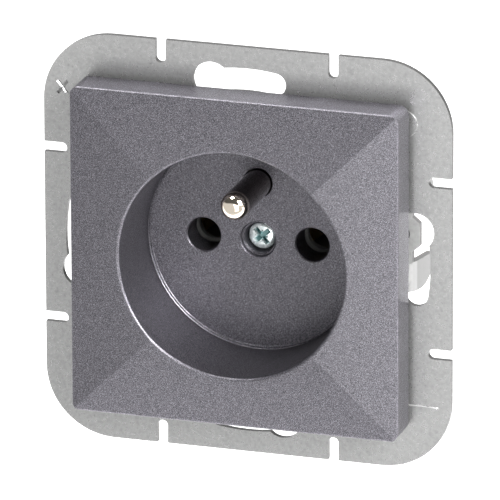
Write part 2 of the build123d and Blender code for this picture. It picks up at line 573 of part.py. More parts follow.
def make_rivet(z):
    """Tubular rivet through a leg's foot, the cap and the base flange."""
    rivet = rod(0, z, RIVET_RADIUS, FOOT_FRONT_Y, FLANGE_BACK_Y)
    rivet += rod(0, z, RIVET_HEAD_RADIUS, FOOT_FRONT_Y - RIVET_HEAD_LENGTH, FOOT_FRONT_Y)
    rivet += rod(0, z, RIVET_HEAD_RADIUS, FLANGE_BACK_Y, FLANGE_BACK_Y + RIVET_HEAD_LENGTH)
    bore_front = FOOT_FRONT_Y - RIVET_HEAD_LENGTH - CUT_PAST
    bore_back = FLANGE_BACK_Y + RIVET_HEAD_LENGTH + CUT_PAST
    return rivet - rod(0, z, RIVET_BORE_RADIUS, bore_front, bore_back)


def claw_wing():
    """Lower wing of the claw, bent back and flared outward, with a rounded free corner."""
    back_y = CLAW_FRONT_Y + CLAW_THICKNESS + CLAW_WING_DEPTH
    bottom_z = CLAW_Z - CLAW_HALF_LENGTH
    wing_x = CLAW_OUTER_X + CLAW_WING_FLARE
    path = [(CLAW_INNER_X, CLAW_FRONT_Y), (CLAW_OUTER_X, CLAW_FRONT_Y), (wing_x, back_y)]
    bent = extrude(strip_profile(path, CLAW_THICKNESS, CLAW_WING_BEND), CLAW_HALF_LENGTH - CLAW_GAP_HALF)
    side = Polyline(
        (CLAW_FRONT_Y, bottom_z),
        (back_y, bottom_z),
        (back_y, CLAW_Z - CLAW_GAP_HALF),
        (CLAW_FRONT_Y, CLAW_Z - CLAW_GAP_HALF),
        close=True,
    )
    side = make_face(side)
    side = fillet(side.vertices().sort_by_distance((back_y, bottom_z))[0], CLAW_WING_ROUND)
    return (Pos(0, 0, bottom_z) * bent) & extrude(Plane.YZ * side, 2 * CLAW_X)


def make_claw():
    """Right claw: toothed plate parallel to the wall, tapped for its screw, with two bent-back wings."""
    outline = panel(CLAW_INNER_X, CLAW_OUTER_X, CLAW_Z - CLAW_GAP_HALF, CLAW_Z + CLAW_GAP_HALF)
    tongue_half = CLAW_TONGUE_LENGTH
    outline += panel(CLAW_TONGUE_X, CLAW_INNER_X + CLAW_LAP, CLAW_Z - tongue_half, CLAW_Z + tongue_half)
    tooth = Polyline(
        (CLAW_OUTER_X - CLAW_LAP, CLAW_Z - CLAW_TOOTH_BASE_HALF),
        (CLAW_OUTER_X, CLAW_Z - CLAW_TOOTH_BASE_HALF),
        (CLAW_OUTER_X + CLAW_TOOTH_REACH, CLAW_Z - CLAW_TOOTH_TIP_HALF),
        (CLAW_OUTER_X + CLAW_TOOTH_REACH, CLAW_Z + CLAW_TOOTH_TIP_HALF),
        (CLAW_OUTER_X, CLAW_Z + CLAW_TOOTH_BASE_HALF),
        (CLAW_OUTER_X - CLAW_LAP, CLAW_Z + CLAW_TOOTH_BASE_HALF),
        close=True,
    )
    outline += make_face(tooth)
    claw = slab(outline, CLAW_FRONT_Y, CLAW_FRONT_Y + CLAW_THICKNESS)
    wing = claw_wing()
    upper = Pos(0, 0, 2 * CLAW_Z) * mirror(wing, Plane.XY)
    claw += wing + upper
    claw_back = CLAW_FRONT_Y + CLAW_THICKNESS
    return claw - rod(CLAW_X, CLAW_Z, CLAW_SCREW_RADIUS, CLAW_FRONT_Y - CUT_PAST, claw_back + CUT_PAST)


def make_claw_screw():
    """Right claw screw: a part-spherical slotted head that rocks on the plate's notch, and a long shank."""
    screw = Pos(CLAW_X, CLAW_PIVOT_Y, CLAW_Z) * Sphere(CLAW_HEAD_RADIUS)
    top_y = CLAW_PIVOT_Y - CLAW_HEAD_TOP
    screw -= rod(CLAW_X, CLAW_Z, 2 * CLAW_HEAD_RADIUS, top_y - 2 * CLAW_HEAD_RADIUS, top_y)
    screw += rod(CLAW_X, CLAW_Z, CLAW_SCREW_RADIUS, CLAW_PIVOT_Y, CLAW_SCREW_END_Y)
    slot = Pos(CLAW_X, CLAW_Z) * Rectangle(2 * CLAW_HEAD_RADIUS + CUT_PAST, CLAW_SLOT_WIDTH)
    return screw - slab(slot, top_y - CUT_PAST, top_y + CLAW_SLOT_DEPTH)


def make_parts():
    """Every node of the socket by name."""
    claw = make_claw()
    claw_screw = make_claw_screw()
    terminals = LIVE_TERMINALS + [EARTH_TERMINAL]
    return {
        "support_plate": make_support_plate(),
        "cover_plate": make_cover(),
        "cover_screw": make_cover_screw(),
        "cover_nut": make_cover_nut(),
        "base_cap": make_base_cap(),
        "socket_base": make_base(),
        "line_contact": tap_terminal(make_contact(PIN_X), *LIVE_TERMINALS[0]),
        "neutral_contact": tap_terminal(make_contact(-PIN_X), *LIVE_TERMINALS[1]),
        "earth_pin": make_earth_pin(),
        "earth_strap": make_earth_strap(),
        "line_clamp": make_clamp(*LIVE_TERMINALS[0]),
        "neutral_clamp": make_clamp(*LIVE_TERMINALS[1]),
        "earth_clamp": make_clamp(*EARTH_TERMINAL),
        "terminal_screws": Compound(children=[make_terminal_screw(*place) for place in terminals]),
        "base_rivets": Compound(children=[make_rivet(RIVET_Z), make_rivet(-RIVET_Z)]),
        "claw_right": claw,
        "claw_left": half_turn(claw),
        "claw_screw_right": claw_screw,
        "claw_screw_left": half_turn(claw_screw),
    }


os.makedirs("parts", exist_ok=True)
for name, solid in make_parts().items():
    export_step(solid, f"parts/{name}.step")
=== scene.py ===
"""Flush wall socket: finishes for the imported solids, plus the studio and camera of the photograph."""

import math

import bmesh
import bpy
from mathutils import Matrix, Quaternion, Vector


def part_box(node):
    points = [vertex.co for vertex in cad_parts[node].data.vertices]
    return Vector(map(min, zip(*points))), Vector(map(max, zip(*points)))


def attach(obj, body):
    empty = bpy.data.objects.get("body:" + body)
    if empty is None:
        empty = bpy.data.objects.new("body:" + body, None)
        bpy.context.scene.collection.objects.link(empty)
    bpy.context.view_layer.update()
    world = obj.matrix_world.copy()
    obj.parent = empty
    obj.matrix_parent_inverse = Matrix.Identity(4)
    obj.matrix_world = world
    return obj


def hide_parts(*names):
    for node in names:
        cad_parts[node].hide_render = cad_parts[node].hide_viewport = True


bl_info = {
    "name": "Flush Wall Socket",
    "version": (1, 0, 0),
    "blender": (4, 5, 0),
    "location": "View3D > Sidebar > Wall Socket",
    "description": "Dresses a flush wall socket and sets up its studio",
    "category": "Object",
}

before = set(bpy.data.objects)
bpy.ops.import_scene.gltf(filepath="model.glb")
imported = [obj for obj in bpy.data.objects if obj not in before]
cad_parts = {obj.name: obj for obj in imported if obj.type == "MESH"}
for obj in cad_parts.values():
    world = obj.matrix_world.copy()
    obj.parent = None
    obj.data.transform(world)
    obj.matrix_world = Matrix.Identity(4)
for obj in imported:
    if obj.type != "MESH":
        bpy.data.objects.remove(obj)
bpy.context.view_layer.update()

MM_PER_METRE = 1000
WHITE = (1.0, 1.0, 1.0, 1.0)

# Places on the solids, in metres, with the start of the painted shade on the pin's shaft, and the share of
# the claw's bend where its painted shade starts
PLATE_LOW, PLATE_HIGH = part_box("support_plate")
PLATE_WIDTH = PLATE_HIGH.x - PLATE_LOW.x
SHEET_BACK = 0.00005
SCORED_LINE_INSET = 0.0079
PIN_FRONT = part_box("earth_pin")[0].y
PIN_TIP_LENGTH = 0.0019
PIN_TIP_FADE = 0.0008
CLAW_BEND = 0.0008
CLAW_SHADE_SHARE = 0.1

# Fine grain: the power that makes bright cells rare, the mean it leaves, its bump, and the coat over it
GRAIN_RARITY = 3.0
GRAIN_MEAN = 0.25
GRAIN_BUMP_DEPTH = 0.00002
COAT_ROUGHNESS = 0.12

# Zinc mottle: detail and roughness of its two noises, how specks and shine follow from them, and its bump
PATCH_NOISE = (6.0, 0.65)
SPECK_NOISE = (1.0, 0.5)
NOISE_MIDDLE = 0.5
SPECK_LEVEL = 0.36
SPECK_SHARPNESS = 10.0
ROUGHNESS_SWING = 0.4
MOTTLE_BUMP_DEPTH = 0.00005

# Lean of a normal: along the depth on cut walls and on faces, and forward and up in the scored line
CUT_WALL_NORMAL = 0.1
FACE_NORMAL = 0.35
SCORED_WALL_NORMAL = 0.35

# Colour sockets of a Mix node
MIX_FIRST = 6
MIX_SECOND = 7
MIX_RESULT = 2

# Shader values that like materials share
PLAIN_METAL = {"metallic": 1.0, "scale": 2500.0}
MOULDED = {"metallic": 0.0, "scale": 5000.0, "strength": 0.06, "bump": 0.2}

# Screws, in millimetres, with the points round a ring and the rows along one pitch
SCREW_SEGMENTS = 40
SCREW_SHARP_ANGLE = math.radians(35)
THREAD_PITCH = 0.5
THREAD_ROWS = 8

# Cover screw: head as depths and shares of its radius, thread, and recess as depth, mouth and foot
COVER_HEAD = ((0.0, 0.4), (0.05, 0.66), (0.2, 0.85), (0.42, 0.96), (0.75, 1.0))
COVER_HEAD_DEPTH = 2.2
COVER_NECK = 0.3
COVER_ROOT = 1.2
COVER_CREST = 1.48
COVER_END_TAPER = 0.4
COVER_END_RADIUS = 1.0
CROSS_TURN = math.radians(40)
CROSS_CUTTER_LEAD = 0.2
CROSS_ARM = (1.5, (3.9, 0.95), (1.7, 0.55))
CROSS_NOTCH = (0.7, (2.6, 0.3), (1.3, 0.1))
# Depths into the cross recess, in mm, over which the painted shade comes in
CROSS_SHADE_START = 0.25
CROSS_SHADE_END = 0.8

# Claw screws: the ball head from its flat front to its neck, the thread, and the slot with its cutter
BALL_FRONT = 1.4
BALL_STEPS = 12
CLAW_NECK_RADIUS = 1.45
CLAW_NECK_END = 1.0
CLAW_THREAD_LEAD = 0.2
CLAW_ROOT = 1.17
CLAW_CREST = 1.44
CLAW_END_TAPER = 0.5
CLAW_END_RADIUS = 0.9
SLOT_WIDTH = 0.8
SLOT_DEPTH = 1.0
SLOT_CUTTER_LEAD = 0.5
SLOT_CUTTER_RADII = 3

# Camera in millimetres of sensor and metres of reach, and the floor in widths of the plate
SENSOR_WIDTH = 36.0
CAMERA_REACH = 20.0
FLOOR_PLATES = 60
FLOOR_FRONT_PLATES = 4
FLOOR_GREY = (0.85, 0.85, 0.85, 1.0)
FLOOR_ROUGHNESS = 0.9
FLOOR_GLOW = 0.75

# Surroundings: heights of a direction from room to table and to white, and depths from front to backdrop
TABLE_EDGE = (0.22, 0.12)
WHITE_BELOW = (-0.5, -0.8)
BACKDROP_EDGE = (-0.1, 0.25)

# Settings that like properties share
COLOUR = {"subtype": "COLOR", "size": 3, "min": 0.0, "max": 1.0}
LENGTH = {"subtype": "DISTANCE", "unit": "LENGTH"}

NODES_BY_FINISH = {
    "graphite": ("cover_plate",),
    "galvanised": ("support_plate",),
    "nickel": ("earth_pin",),
    "zinc": ("cover_nut", "base_rivets", "cover_screw", "claw_screw_right", "claw_screw_left"),
    "claw_steel": ("claw_right", "claw_left"),
    "yellow_zinc": ("line_clamp", "neutral_clamp", "earth_clamp", "terminal_screws"),
    "brass": ("line_contact", "neutral_contact", "earth_strap"),
    "cap_plastic": ("base_cap",),
    "base_plastic": ("socket_base",),
}


class SocketFinishSettings(bpy.types.PropertyGroup):
    """Colours of the socket's finishes."""

    graphite: bpy.props.FloatVectorProperty(
        name="Graphite",
        description="Metallic lacquer of the cover",
        default=(0.118, 0.1135, 0.128),
        **COLOUR,
    )
    galvanised: bpy.props.FloatVectorProperty(
        name="Galvanised",
        description="Zinc coat of the support plate",
        default=(0.362, 0.362, 0.36),
        **COLOUR,
    )
    # A darker colour on the walls of the sheets' cut edges
    cut_edge_colour: bpy.props.FloatVectorProperty(
        name="Cut edge colour",
        description="Darker colour on the walls of the cut edges of the plate and the claws",
        default=(0.062, 0.061, 0.06),
        **COLOUR,
    )
    # Painted highlight: bright metal where light catches the scored line's lower wall
    painted_scored_highlight: bpy.props.FloatVectorProperty(
        name="Painted scored highlight",
        description="Painted highlight in the line scored low on the support plate",
        default=(0.9, 0.9, 0.89),
        **COLOUR,
    )
    nickel: bpy.props.FloatVectorProperty(
        name="Nickel",
        description="Bright plating on the tip of the earth pin",
        default=(0.86, 0.77, 0.65),
        **COLOUR,
    )
    # Painted shade: darker nickel that stands in for the shade along the pin's shaft
    painted_shaft_shade: bpy.props.FloatVectorProperty(
        name="Painted shaft shade",
        description="Darker nickel painted on the shaft of the earth pin as shade",
        default=(0.07, 0.058, 0.054),
        **COLOUR,
    )
    zinc: bpy.props.FloatVectorProperty(
        name="Zinc",
        description="Bluish plating of the nut and the rivets",
        default=(0.58, 0.63, 0.63),
        **COLOUR,
    )
    # Painted light: a lit copy of the zinc for the cover screw's head, and a shaded copy for its recess
    painted_zinc_highlight: bpy.props.FloatVectorProperty(
        name="Painted zinc highlight",
        description="Bluish plating of the cover screw, painted bright as a highlight",
        default=(0.9, 0.98, 0.98),
        **COLOUR,
    )
    painted_recess_shade: bpy.props.FloatVectorProperty(
        name="Painted recess shade",
        description="Painted shade down in the recess of the cover screw",
        default=(0.2, 0.33, 0.33),
        **COLOUR,
    )
    screw_steel: bpy.props.FloatVectorProperty(
        name="Screw steel",
        description="Dark steel of the claw screws",
        default=(0.06, 0.059, 0.058),
        **COLOUR,
    )
    claw_steel: bpy.props.FloatVectorProperty(
        name="Claw steel",
        description="Bright plating of the claws",
        default=(0.36, 0.36, 0.357),
        **COLOUR,
    )
    # Painted shade: a darker copy of the claw plating on the wings bent back
    painted_wing_shade: bpy.props.FloatVectorProperty(
        name="Painted wing shade",
        description="Painted shade where the claws bend back",
        default=(0.25, 0.25, 0.248),
        **COLOUR,
    )
    yellow_zinc: bpy.props.FloatVectorProperty(
        name="Yellow zinc",
        description="Passivated plating of the terminal clamps and screws",
        default=(0.62, 0.55, 0.36),
        **COLOUR,
    )
    brass: bpy.props.FloatVectorProperty(
        name="Brass",
        description="Rolled brass of the contacts and the earth strap",
        default=(0.66, 0.49, 0.22),
        **COLOUR,
    )
    cap_plastic: bpy.props.FloatVectorProperty(
        name="Cap plastic",
        description="Moulded front plate of the insert",
        default=(0.07, 0.07, 0.067),
        **COLOUR,
    )
    base_plastic: bpy.props.FloatVectorProperty(
        name="Base plastic",
        description="Moulded rear housing",
        default=(0.13, 0.13, 0.128),
        **COLOUR,
    )


class SocketStageSettings(bpy.types.PropertyGroup):
    """Camera and studio of the photograph."""

    azimuth: bpy.props.FloatProperty(
        name="Azimuth",
        description="Turn of the camera to the right of straight in front",
        subtype="ANGLE",
        default=math.radians(17.6),
    )
    elevation: bpy.props.FloatProperty(
        name="Elevation",
        description="Height angle of the camera",
        subtype="ANGLE",
        default=math.radians(18.7),
    )
    roll: bpy.props.FloatProperty(
        name="Roll",
        description="Turn of the camera about its own line of sight",
        subtype="ANGLE",
        default=math.radians(-0.2),
    )
    distance: bpy.props.FloatProperty(
        name="Distance",
        description="From the camera to the point that it looks at",
        default=1.7,
        **LENGTH,
    )
    aim_side: bpy.props.FloatProperty(
        name="Aim sideways",
        description="How far to the right of the plate's middle the camera looks",
        default=0.00055,
        **LENGTH,
    )
    aim_rise: bpy.props.FloatProperty(
        name="Aim height",
        description="How far above the plate's middle the camera looks",
        default=0.00023,
        **LENGTH,
    )
    plate_share: bpy.props.FloatProperty(
        name="Plate share",
        description="Width of the plate, seen square on, as a share of the picture's width",
        default=0.8525,
    )
    floor_drop: bpy.props.FloatProperty(
        name="Floor drop",
        description="Depth of the floor below the plate's lower edge",
        default=0.3,
        **LENGTH,
    )
    key_power: bpy.props.FloatProperty(
        name="Key light",
        description="Power of the large light at the upper right",
        unit="POWER",
        default=24.0,
    )
    front_power: bpy.props.FloatProperty(
        name="Front light",
        description="Power of the wide low light in front",
        unit="POWER",
        default=4.8,
    )
    side_power: bpy.props.FloatProperty(
        name="Side light",
        description="Power of the narrow light on the right",
        unit="POWER",
        default=1.2,
    )
    top_power: bpy.props.FloatProperty(
        name="Top light",
        description="Power of the narrow light overhead on the left",
        unit="POWER",
        default=5.5,
    )
    rim_power: bpy.props.FloatProperty(
        name="Rim light",
        description="Power of the high light behind the socket on the right",
        unit="POWER",
        default=22.0,
    )
    room: bpy.props.FloatProperty(
        name="Room",
        description="Brightness of the room in front, as shiny surfaces mirror it",
        default=0.1,
    )
    table: bpy.props.FloatProperty(
        name="Table",
        description="Brightness of the pale table below in front, as shiny surfaces mirror it",
        default=0.76,
    )
    ambient: bpy.props.FloatProperty(
        name="Ambient",
        description="Strength of the even light from all round",
        default=0.48,
    )


def finishes():
    """Finish settings of the scene."""
    return bpy.context.scene.socket_finishes


def new_group(name, inputs, outputs):
    """Empty shader node group with float or colour sockets, its input node and its output node."""
    group = bpy.data.node_groups.new(name, "ShaderNodeTree")
    for socket_name, socket_type, default in inputs:
        socket = group.interface.new_socket(socket_name, in_out="INPUT", socket_type=socket_type)
        socket.default_value = default
    for socket_name, socket_type in outputs:
        group.interface.new_socket(socket_name, in_out="OUTPUT", socket_type=socket_type)
    entry = group.nodes.new("NodeGroupInput")
    leave = group.nodes.new("NodeGroupOutput")
    return group, entry, leave


def feed(tree, socket, value):
    """Links a socket to an input, or sets the input to a plain number."""
    if isinstance(value, bpy.types.NodeSocket):
        tree.links.new(value, socket)
    else:
        socket.default_value = value


def math_node(tree, operation, first, second):
    """Math node fed by sockets or plain numbers; gives its output socket."""
    node = tree.nodes.new("ShaderNodeMath")
    node.operation = operation
    feed(tree, node.inputs[0], first)
    feed(tree, node.inputs[1], second)
    return node.outputs[0]


def ramp_node(tree, value, start, end, low=0.0, high=1.0):
    """Value socket that goes from low to high as another one goes from start to end."""
    node = tree.nodes.new("ShaderNodeMapRange")
    tree.links.new(value, node.inputs["Value"])
    node.inputs["From Min"].default_value = start
    node.inputs["From Max"].default_value = end
    feed(tree, node.inputs["To Min"], low)
    feed(tree, node.inputs["To Max"], high)
    return node.outputs["Result"]


def object_position(tree):
    """Socket of the position on the object, in metres."""
    return tree.nodes.new("ShaderNodeTexCoord").outputs["Object"]


def coordinates(tree, kind):
    """Sockets X, Y and Z of a texture coordinate, such as Object or Normal."""
    split = tree.nodes.new("ShaderNodeSeparateXYZ")
    tree.links.new(tree.nodes.new("ShaderNodeTexCoord").outputs[kind], split.inputs[0])
    return split.outputs


def noise_node(tree, scale, detail, roughness):
    """Noise over the object's own position, with its scale from a socket; gives its value socket."""
    node = tree.nodes.new("ShaderNodeTexNoise")
    node.inputs["Detail"].default_value = detail
    node.inputs["Roughness"].default_value = roughness
    tree.links.new(object_position(tree), node.inputs["Vector"])
    tree.links.new(scale, node.inputs["Scale"])
    return node.outputs["Fac"]


def shade_colour(tree, colour, factor):
    """Colour socket multiplied by a value socket; gives the result's socket."""
    node = tree.nodes.new("ShaderNodeVectorMath")
    node.operation = "SCALE"
    tree.links.new(colour, node.inputs[0])
    tree.links.new(factor, node.inputs["Scale"])
    return node.outputs[0]


def grain_group():
    """Fine random grain: many darker cells and few bright ones over a colour, and a height for a bump."""
    if "Fine grain" in bpy.data.node_groups:
        return bpy.data.node_groups["Fine grain"]
    group, entry, leave = new_group(
        "Fine grain",
        (
            ("Colour", "NodeSocketColor", (0.5, 0.5, 0.5, 1.0)),
            ("Scale", "NodeSocketFloat", 4000.0),
            ("Strength", "NodeSocketFloat", 0.2),
        ),
        (("Colour", "NodeSocketColor"), ("Height", "NodeSocketFloat")),
    )
    cells = group.nodes.new("ShaderNodeTexVoronoi")
    group.links.new(object_position(group), cells.inputs["Vector"])
    group.links.new(entry.outputs["Scale"], cells.inputs["Scale"])
    split = group.nodes.new("ShaderNodeSeparateColor")
    group.links.new(cells.outputs["Color"], split.inputs[0])
    rare = math_node(group, "POWER", split.outputs[0], GRAIN_RARITY)
    centred = math_node(group, "SUBTRACT", rare, GRAIN_MEAN)
    swing = math_node(group, "MULTIPLY", centred, entry.outputs["Strength"])
    factor = math_node(group, "ADD", swing, 1.0)
    group.links.new(shade_colour(group, entry.outputs["Colour"], factor), leave.inputs["Colour"])
    group.links.new(split.outputs[1], leave.inputs["Height"])
    return group


def mottle_group():
    """Cloudy zinc coat: soft patches and dark specks over a colour, with roughness and height to match."""
    if "Zinc mottle" in bpy.data.node_groups:
        return bpy.data.node_groups["Zinc mottle"]
    group, entry, leave = new_group(
        "Zinc mottle",
        (
            ("Colour", "NodeSocketColor", (0.5, 0.5, 0.5, 1.0)),
            ("Patch scale", "NodeSocketFloat", 350.0),
            ("Patch strength", "NodeSocketFloat", 0.2),
            ("Speck scale", "NodeSocketFloat", 900.0),
            ("Speck strength", "NodeSocketFloat", 0.3),
            ("Roughness", "NodeSocketFloat", 0.45),
        ),
        (("Colour", "NodeSocketColor"), ("Roughness", "NodeSocketFloat"), ("Height", "NodeSocketFloat")),
    )
    patches = noise_node(group, entry.outputs["Patch scale"], *PATCH_NOISE)
    centred = math_node(group, "SUBTRACT", patches, NOISE_MIDDLE)
    swing = math_node(group, "MULTIPLY", centred, entry.outputs["Patch strength"])
    specks = noise_node(group, entry.outputs["Speck scale"], *SPECK_NOISE)
    deep = math_node(group, "SUBTRACT", SPECK_LEVEL, specks)
    clipped = math_node(group, "MAXIMUM", deep, 0.0)
    spotted = math_node(group, "MULTIPLY", clipped, entry.outputs["Speck strength"])
    sharpened = math_node(group, "MULTIPLY", spotted, SPECK_SHARPNESS)
    factor = math_node(group, "SUBTRACT", math_node(group, "ADD", swing, 1.0), sharpened)
    group.links.new(shade_colour(group, entry.outputs["Colour"], factor), leave.inputs["Colour"])
    shine = math_node(group, "MULTIPLY", swing, ROUGHNESS_SWING)
    rough = math_node(group, "SUBTRACT", entry.outputs["Roughness"], shine)
    group.links.new(rough, leave.inputs["Roughness"])
    group.links.new(patches, leave.inputs["Height"])
    return group


def new_material(name):
    """Material with a bare Principled shader; gives the material, its tree and the shader."""
    material = bpy.data.materials.new(name)
    material.use_nodes = True
    tree = material.node_tree
    return material, tree, tree.nodes["Principled BSDF"]


def add_group(tree, group, colour, values):
    """Places a node group in a material with its own colour and values."""
    node = tree.nodes.new("ShaderNodeGroup")
    node.node_tree = group
    node.inputs["Colour"].default_value = (*colour, 1.0)
    for name, value in values.items():
        node.inputs[name].default_value = value
    return node


def add_bump(tree, shader, height, strength, distance):
    """Bump from a height socket into the shader's normal."""
    bump = tree.nodes.new("ShaderNodeBump")
    bump.inputs["Strength"].default_value = strength
    bump.inputs["Distance"].default_value = distance
    tree.links.new(height, bump.inputs["Height"])
    tree.links.new(bump.outputs["Normal"], shader.inputs["Normal"])


def grained_material(name, colour, metallic, roughness, scale, strength, bump=0.0, coat=0.0, edge=1.0):
    """Material with fine grain over its colour; edge is the share of mirror light kept at flat angles."""
    material, tree, shader = new_material(name)
    grain = add_group(tree, grain_group(), colour, {"Scale": scale, "Strength": strength})
    tree.links.new(grain.outputs["Colour"], shader.inputs["Base Color"])
    shader.inputs["Metallic"].default_value = metallic
    shader.inputs["Roughness"].default_value = roughness
    shader.inputs["Coat Weight"].default_value = coat
    shader.inputs["Coat Roughness"].default_value = COAT_ROUGHNESS
    shader.inputs["Specular Tint"].default_value = (edge, edge, edge, 1.0)
    if bump > 0:
        add_bump(tree, shader, grain.outputs["Height"], bump, GRAIN_BUMP_DEPTH)
    return material


def mottled_material(name, colour, metallic, values, bump=0.0):
    """Material with the zinc mottle over its colour."""
    material, tree, shader = new_material(name)
    mottle = add_group(tree, mottle_group(), colour, values)
    tree.links.new(mottle.outputs["Colour"], shader.inputs["Base Color"])
    tree.links.new(mottle.outputs["Roughness"], shader.inputs["Roughness"])
    shader.inputs["Metallic"].default_value = metallic
    if bump > 0:
        add_bump(tree, shader, mottle.outputs["Height"], bump, MOTTLE_BUMP_DEPTH)
    return material


def tint_where(material, mask, colour):
    """Blends the material's base colour into another one as a mask socket goes from 0 to 1."""
    tree = material.node_tree
    base = tree.nodes["Principled BSDF"].inputs["Base Color"]
    blend = tree.nodes.new("ShaderNodeMix")
    blend.data_type = "RGBA"
    tree.links.new(mask, blend.inputs["Factor"])
    tree.links.new(base.links[0].from_socket, blend.inputs[MIX_FIRST])
    blend.inputs[MIX_SECOND].default_value = (*colour, 1.0)
    tree.links.new(blend.outputs[MIX_RESULT], base)


def darken_cut_edges(material, back):
    """Darker colour on the walls of a sheet's cut edges, in front of a depth in metres."""
    tree = material.node_tree
    slope = math_node(tree, "ABSOLUTE", coordinates(tree, "Normal")["Y"], 0.0)
    upright = ramp_node(tree, slope, FACE_NORMAL, CUT_WALL_NORMAL)
    in_sheet = math_node(tree, "LESS_THAN", coordinates(tree, "Object")["Y"], back)
    tint_where(material, math_node(tree, "MULTIPLY", upright, in_sheet), finishes().cut_edge_colour)


def paint_highlight_in_scored_line(material, left):
    """Painted highlight on the lower wall of the line scored low on the sheet, right of a place in metres.
    """
    tree = material.node_tree
    normal = coordinates(tree, "Normal")
    rising = math_node(tree, "GREATER_THAN", normal["Z"], SCORED_WALL_NORMAL)
    facing = math_node(tree, "LESS_THAN", normal["Y"], -SCORED_WALL_NORMAL)
    position = coordinates(tree, "Object")
    right = math_node(tree, "GREATER_THAN", position["X"], left)
    low = math_node(tree, "LESS_THAN", position["Z"], 0.0)
    wall = math_node(tree, "MULTIPLY", rising, facing)
    corner = math_node(tree, "MULTIPLY", right, low)
    tint_where(material, math_node(tree, "MULTIPLY", wall, corner), finishes().painted_scored_highlight)


def dress(finish, material):
    """Gives the nodes of a finish its material."""
    for name in NODES_BY_FINISH[finish]:
        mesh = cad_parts[name].data
        mesh.materials.clear()
        mesh.materials.append(material)


def shade_with_depth(material, start, end, colour):
    """Fades the material's colour into a painted shade colour between two depths on the object, in metres.
    """
    tree = material.node_tree
    mask = ramp_node(tree, coordinates(tree, "Object")["Y"], start, end)
    tint_where(material, mask, colour)


def pin_material():
    """Nickel plating, bright on the pin's rounded tip, with painted shade darkening it along its shaft."""
    colours = finishes()
    material = grained_material(
        "Polished nickel", colours.nickel, metallic=1.0, roughness=0.1, scale=3000.0, strength=0.03
    )
    # Painted shade: the nickel darkens behind the tip, along the shaft
    tip_end = PIN_FRONT + PIN_TIP_LENGTH
    shade_with_depth(material, tip_end, tip_end + PIN_TIP_FADE, colours.painted_shaft_shade)
    return material


class SOCKET_OT_dress_cover(bpy.types.Operator):
    """Graphite lacquer with metal flakes on the cover"""

    bl_idname = "socket.dress_cover"
    bl_label = "Dress Cover"

    def execute(self, context):
        lacquer = grained_material(
            "Graphite lacquer",
            finishes().graphite,
            metallic=0.9,
            roughness=0.42,
            scale=20000.0,
            strength=2.6,
            bump=0.35,
            coat=0.25,
            edge=0.65,
        )
        dress("graphite", lacquer)
        return {"FINISHED"}


class SOCKET_OT_dress_plate(bpy.types.Operator):
    """Galvanised sheet for the support plate"""

    bl_idname = "socket.dress_plate"
    bl_label = "Dress Support Plate"

    def execute(self, context):
        values = {
            "Patch scale": 1300.0,
            "Patch strength": 1.1,
            "Speck scale": 2200.0,
            "Speck strength": 0.12,
            "Roughness": 0.31,
        }
        colour = finishes().galvanised
        material = mottled_material("Galvanised sheet", colour, metallic=0.85, values=values, bump=0.15)
        darken_cut_edges(material, SHEET_BACK)
        # Painted highlight in the scored line low on the plate
        paint_highlight_in_scored_line(material, PLATE_HIGH.x - SCORED_LINE_INSET)
        dress("galvanised", material)
        return {"FINISHED"}


class SOCKET_OT_dress_metalwork(bpy.types.Operator):
    """Metal of the pin, the nut, the rivets, the terminals, the contacts, the strap and the claws"""

    bl_idname = "socket.dress_metalwork"
    bl_label = "Dress Metalwork"

    def execute(self, context):
        colours = finishes()
        dress("nickel", pin_material())
        zinc = grained_material("Blue zinc", colours.zinc, roughness=0.3, strength=0.15, **PLAIN_METAL)
        dress("zinc", zinc)
        yellow = grained_material(
            "Yellow zinc", colours.yellow_zinc, roughness=0.33, strength=0.15, **PLAIN_METAL
        )
        dress("yellow_zinc", yellow)
        brass = grained_material("Rolled brass", colours.brass, roughness=0.34, strength=0.12, **PLAIN_METAL)
        dress("brass", brass)
        values = {"Patch scale": 900.0, "Patch strength": 0.7, "Speck strength": 0.1, "Roughness": 0.4}
        claw = mottled_material("Claw plating", colours.claw_steel, metallic=0.2, values=values)
        low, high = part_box("claw_right")
        # Painted shade: the plating darkens on the wings bent back
        shade_start = low.y + CLAW_SHADE_SHARE * CLAW_BEND
        shade_with_depth(claw, shade_start, low.y + CLAW_BEND, colours.painted_wing_shade)
        darken_cut_edges(claw, high.y)
        dress("claw_steel", claw)
        return {"FINISHED"}


class SOCKET_OT_dress_plastics(bpy.types.Operator):
    """Moulded plastic of the insert"""

    bl_idname = "socket.dress_plastics"
    bl_label = "Dress Plastics"

    def execute(self, context):
        colours = finishes()
        cap = grained_material("Cap plastic", colours.cap_plastic, roughness=0.55, **MOULDED)
        dress("cap_plastic", cap)
        base = grained_material("Base plastic", colours.base_plastic, roughness=0.5, **MOULDED)
        dress("base_plastic", base)
        return {"FINISHED"}


def thread_rings(start, end, root, crest):
    """Rings of a V thread between two depths: each is a depth and the radius at every segment."""
    rows = round((end - start) / THREAD_PITCH * THREAD_ROWS)
    rings = []
    for row in range(rows + 1):
        depth = start + (end - start) * row / rows
        radii = []
        for step in range(SCREW_SEGMENTS):
            phase = (depth / THREAD_PITCH - step / SCREW_SEGMENTS) % 1.0
            radii.append(root + (crest - root) * (1 - abs(2 * phase - 1)))
        rings.append((depth, radii))
    return rings


def plain_rings(profile):
    """Round rings from pairs of depth and radius."""
    return [(depth, [radius] * SCREW_SEGMENTS) for depth, radius in profile]


def mesh_object(name, verts, faces):
    """Object in the scene with a mesh whose faces all look outward."""
    mesh = bpy.data.meshes.new(name)
    mesh.from_pydata(verts, [], faces)
    shell = bmesh.new()
    shell.from_mesh(mesh)
    bmesh.ops.recalc_face_normals(shell, faces=shell.faces)
    shell.to_mesh(mesh)
    shell.free()
    piece = bpy.data.objects.new(name, mesh)
    bpy.context.scene.collection.objects.link(piece)
    return piece


